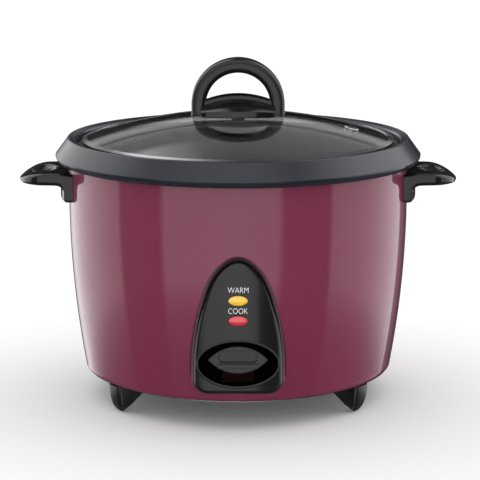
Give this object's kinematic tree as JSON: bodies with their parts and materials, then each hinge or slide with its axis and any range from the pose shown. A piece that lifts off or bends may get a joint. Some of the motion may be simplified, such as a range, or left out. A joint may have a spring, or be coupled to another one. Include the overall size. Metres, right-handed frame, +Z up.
{
  "type": "rice cooker",
  "caption": "Electric drum rice cooker with a removable pot, a domed glass lid, side grips, and a front panel with pilot lamps and a cook lever.",
  "frame": {"origin": "on the floor plane under the centre of the drum, where the feet stand", "axes": "+X to the user's right along the two side grips, +Y to the rear (the panel faces -Y), +Z up"},
  "size_m": [0.314, 0.262, 0.2439],
  "materials": {
    "drum_enamel": "gloss",
    "collar_plastic": "satin",
    "black_plastic": "fine satin texture",
    "panel_plastic": "satin",
    "foot_plastic": "satin",
    "lid_glass": "clear tempered",
    "rim_steel": "polished",
    "pot_aluminium": "satin, dark non-stick inside",
    "liner_steel": "plain galvanised",
    "screw_steel": "zinc plated",
    "amber_lens": "translucent amber",
    "red_lens": "translucent red",
    "lamp_glass": "clear",
    "cast_aluminium": "machined casting",
    "heater_steel": "heat tinted",
    "sensor_steel": "plain",
    "ferrite": "sintered",
    "spring_steel": "bright wire",
    "lever_steel": "nickel plated",
    "switch_plastic": "phenolic",
    "pale_plastic": "plain",
    "inlet_plastic": "satin",
    "pin_brass": "nickel flashed",
    "fuse_sleeve": "glass fibre sleeve",
    "resistor_ceramic": "glazed",
    "wire_brown": "silicone sleeve",
    "wire_blue": "silicone sleeve",
    "wire_white": "silicone sleeve"
  },
  "bodies": {
    "root": {"outer_shell": "drum_enamel", "collar_ring": "collar_plastic", "right_handle": "black_plastic", "left_handle": "black_plastic", "control_panel": "panel_plastic", "foot_front_right": "foot_plastic", "foot_rear_right": "foot_plastic", "foot_rear_left": "foot_plastic", "foot_front_left": "foot_plastic", "inner_liner": "liner_steel", "base_plate": "liner_steel", "lever_bracket": "liner_steel", "switch_bracket": "liner_steel", "lamp_holder": "liner_steel", "plate_spacers": "liner_steel", "foot_screws": "screw_steel", "base_screws": "screw_steel", "handle_screws": "screw_steel", "panel_screws": "screw_steel", "plate_screws": "screw_steel", "inlet_screws": "screw_steel", "bracket_rivets": "screw_steel", "warm_lens": "amber_lens", "cook_lens": "red_lens", "warm_lamp": "lamp_glass", "cook_lamp": "lamp_glass", "heating_plate": "cast_aluminium", "heating_element": "heater_steel", "sensor_can": "sensor_steel", "sensor_spring": "spring_steel", "lever_spring": "spring_steel", "lever_pin": "lever_steel", "switch_body": "switch_plastic", "terminal_block": "pale_plastic", "power_inlet": "inlet_plastic", "inlet_pins": "pin_brass", "terminal_screws": "pin_brass", "thermal_fuse": "fuse_sleeve", "keep_warm_resistor": "resistor_ceramic", "wire_live": "wire_brown", "wire_switch": "wire_brown", "wire_neutral": "wire_blue", "wire_element": "wire_white", "wire_lamps": "wire_white"},
    "pot": {"inner_pot": "pot_aluminium"},
    "lid": {"lid_glass": "lid_glass", "lid_rim_band": "rim_steel", "lid_knob": "black_plastic", "knob_base": "black_plastic", "knob_screw": "screw_steel", "knob_washer": "screw_steel", "steam_vent": "rim_steel"},
    "lever": {"lever_arm": "lever_steel", "lever_paddle": "panel_plastic"},
    "magnet": {"magnet_rod": "lever_steel", "lower_magnet": "ferrite"},
    "sensor": {"sensor_cup": "sensor_steel", "sensor_ferrite": "ferrite"},
    "plunger": {"switch_plunger": "pale_plastic"}
  },
  "joints": [
    {"name": "pot_lift", "type": "slide", "parent": "root", "child": "pot", "axis": [0, 0, 1], "range_m": [0, 0.18]},
    {"name": "lid_lift", "type": "slide", "parent": "pot", "child": "lid", "axis": [0, 0, 1], "range_m": [0, 0.15]},
    {"name": "cook_lever", "type": "hinge", "parent": "root", "child": "lever", "pos_m": [0, -0.045, 0.04], "axis": [1, 0, 0], "range_deg": [0, 6.5], "stiffness_Nm_per_rad": 0.1, "springref_deg": -14.32, "deforming": ["lever_spring"]},
    {"name": "magnet_slide", "type": "slide", "parent": "root", "child": "magnet", "axis": [0, 0, 1], "range_m": [0, 0.0052]},
    {"name": "switch_press", "type": "slide", "parent": "root", "child": "plunger", "axis": [0, 0, -1], "range_m": [0, 0.0029]},
    {"name": "sensor_press", "type": "slide", "parent": "root", "child": "sensor", "axis": [0, 0, -1], "range_m": [0, 0.0015], "stiffness_N_per_m": 400, "springref_m": -0.004, "deforming": ["sensor_spring"]}
  ],
  "couplings": [
    {"joint": "magnet_slide", "follows": "cook_lever", "m_per_rad": 0.045},
    {"joint": "switch_press", "follows": "cook_lever", "m_per_rad": 0.025}
  ]
}
